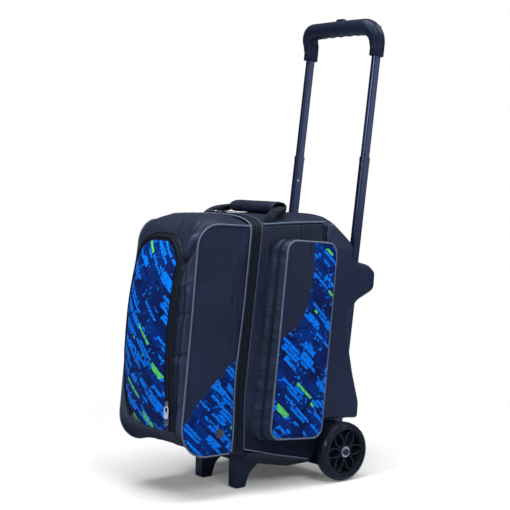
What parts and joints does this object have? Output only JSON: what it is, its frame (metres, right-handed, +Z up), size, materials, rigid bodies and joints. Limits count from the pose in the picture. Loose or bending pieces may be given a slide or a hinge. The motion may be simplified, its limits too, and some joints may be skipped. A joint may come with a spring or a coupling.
{
  "type": "two-ball roller bag",
  "caption": "Upright roller bag for bowling balls, with a fold-down shoe compartment, side pockets, spoked wheels and a telescoping pull handle.",
  "frame": {"origin": "on the floor, under the middle of the bounding box", "axes": "+Z up, +X to the right of someone who faces the front, -Y towards the front, where the shoe compartment is"},
  "size_m": [0.337, 0.5818, 1.0011],
  "materials": {
    "fabric_navy": "woven polyester, dark navy charcoal",
    "fabric_print": "printed polyester, blue with green flecks",
    "plastic_charcoal": "moulded, fine grain",
    "tube_black": "gloss black",
    "tyre_black": "smooth polyurethane",
    "rim_dark_grey": "moulded dark grey",
    "steel_bright": "bright zinc plate",
    "foam_grey": "fabric-faced foam"
  },
  "bodies": {
    "bag": {"side_panel_left": "fabric_navy", "side_panel_right": "fabric_navy", "top_panel": "fabric_navy", "back_board": "plastic_charcoal", "base_tray": "plastic_charcoal", "front_foot_left": "plastic_charcoal", "front_foot_right": "plastic_charcoal", "axle_beam": "plastic_charcoal", "axle": "steel_bright", "axle_bolt_left": "steel_bright", "axle_bolt_right": "steel_bright", "outer_tube_left": "tube_black", "outer_tube_right": "tube_black", "tube_bracket_lower": "plastic_charcoal", "tube_bracket_upper": "plastic_charcoal", "side_guard_left": "plastic_charcoal", "side_guard_right": "plastic_charcoal", "ball_cup_lower": "foam_grey", "ball_cup_upper": "foam_grey", "ball_shelf": "foam_grey", "pocket_gusset_left": "fabric_navy", "pocket_gusset_right": "fabric_navy", "main_zip_coil": "plastic_charcoal"},
    "door": {"door_side_left": "fabric_navy", "door_side_right": "fabric_navy", "door_top": "fabric_navy", "door_bottom": "fabric_navy", "door_front": "fabric_navy", "door_liner": "fabric_navy", "side_badge": "steel_bright"},
    "shoe_flap": {"shoe_flap": "fabric_print"},
    "pocket_lid_left": {"pocket_lid_left": "fabric_print"},
    "pocket_lid_right": {"pocket_lid_right": "fabric_print"},
    "handle_middle": {"middle_tube_left": "tube_black", "middle_tube_right": "tube_black", "tube_collar_left": "plastic_charcoal", "tube_collar_right": "plastic_charcoal"},
    "handle_top": {"upper_tube_left": "tube_black", "upper_tube_right": "tube_black", "grip_front": "plastic_charcoal", "grip_rear": "plastic_charcoal"},
    "handle_release": {"release_button": "plastic_charcoal", "release_yoke": "steel_bright", "push_rod_left": "steel_bright", "push_rod_right": "steel_bright"},
    "wheel_left": {"tyre_left": "tyre_black", "rim_left": "rim_dark_grey", "wheel_bushing_left": "steel_bright"},
    "wheel_right": {"tyre_right": "tyre_black", "rim_right": "rim_dark_grey", "wheel_bushing_right": "steel_bright"},
    "grab_handle": {"grab_webbing": "fabric_navy", "grab_wrap": "fabric_navy"},
    "main_slider_left": {"main_slider_left": "steel_bright"},
    "main_slider_right": {"main_slider_right": "steel_bright"},
    "main_pull_left": {"main_pull_left": "steel_bright"},
    "main_pull_right": {"main_pull_right": "steel_bright"},
    "shoe_slider": {"shoe_slider": "steel_bright"},
    "shoe_pull": {"shoe_pull": "steel_bright"}
  },
  "joints": [
    {"name": "door_fold", "type": "hinge", "parent": "bag", "child": "door", "pos_m": [0, -0.12859, 0.095], "axis": [1, 0, 0], "range_deg": [0, 40]},
    {"name": "shoe_flap_fold", "type": "hinge", "parent": "door", "child": "shoe_flap", "pos_m": [0, -0.2753, 0.14839], "axis": [1, 0, 0], "range_deg": [0, 50]},
    {"name": "pocket_lid_left_swing", "type": "hinge", "parent": "bag", "child": "pocket_lid_left", "pos_m": [-0.1578, 0.08541, 0.309], "axis": [0, -0.1067, -0.9943], "range_deg": [0, 40]},
    {"name": "pocket_lid_right_swing", "type": "hinge", "parent": "bag", "child": "pocket_lid_right", "pos_m": [0.1578, 0.08541, 0.309], "axis": [0, 0.1067, 0.9943], "range_deg": [0, 40]},
    {"name": "handle_middle_slide", "type": "slide", "parent": "bag", "child": "handle_middle", "axis": [0, 0.1426, 0.9898], "range_m": [-0.205, 0]},
    {"name": "handle_top_slide", "type": "slide", "parent": "handle_middle", "child": "handle_top", "axis": [0, 0.1426, 0.9898], "range_m": [-0.22, 0]},
    {"name": "release_press", "type": "slide", "parent": "handle_top", "child": "handle_release", "axis": [0, 0.1426, 0.9898], "range_m": [-0.005, 0], "stiffness_N_per_m": 900, "springref_m": 0.006},
    {"name": "wheel_left_spin", "type": "hinge", "parent": "bag", "child": "wheel_left", "pos_m": [-0.1515, 0.12941, 0.0635], "axis": [1, 0, 0], "continuous": true},
    {"name": "wheel_right_spin", "type": "hinge", "parent": "bag", "child": "wheel_right", "pos_m": [0.1515, 0.12941, 0.0635], "axis": [1, 0, 0], "continuous": true},
    {"name": "grab_handle_swing", "type": "hinge", "parent": "bag", "child": "grab_handle", "pos_m": [0, -0.05059, 0.56232], "axis": [1, 0, 0], "range_deg": [0, 60]},
    {"name": "main_slider_left_run", "type": "slide", "parent": "bag", "child": "main_slider_left", "axis": [-1, 0, 0], "range_m": [0, 0.05]},
    {"name": "main_slider_right_run", "type": "slide", "parent": "bag", "child": "main_slider_right", "axis": [1, 0, 0], "range_m": [0, 0.05]},
    {"name": "main_pull_left_flip", "type": "hinge", "parent": "main_slider_left", "child": "main_pull_left", "pos_m": [-0.016, -0.07859, 0.5828], "axis": [0, 1, 0], "range_deg": [0, 120]},
    {"name": "main_pull_right_flip", "type": "hinge", "parent": "main_slider_right", "child": "main_pull_right", "pos_m": [0.016, -0.07859, 0.5828], "axis": [0, -1, 0], "range_deg": [0, 120]},
    {"name": "shoe_slider_run", "type": "slide", "parent": "door", "child": "shoe_slider", "axis": [0, 0.1161, 0.9932], "range_m": [0, 0.28]},
    {"name": "shoe_pull_flip", "type": "hinge", "parent": "shoe_slider", "child": "shoe_pull", "pos_m": [0.093, -0.27722, 0.19772], "axis": [-1, 0, 0], "range_deg": [0, 120]}
  ]
}
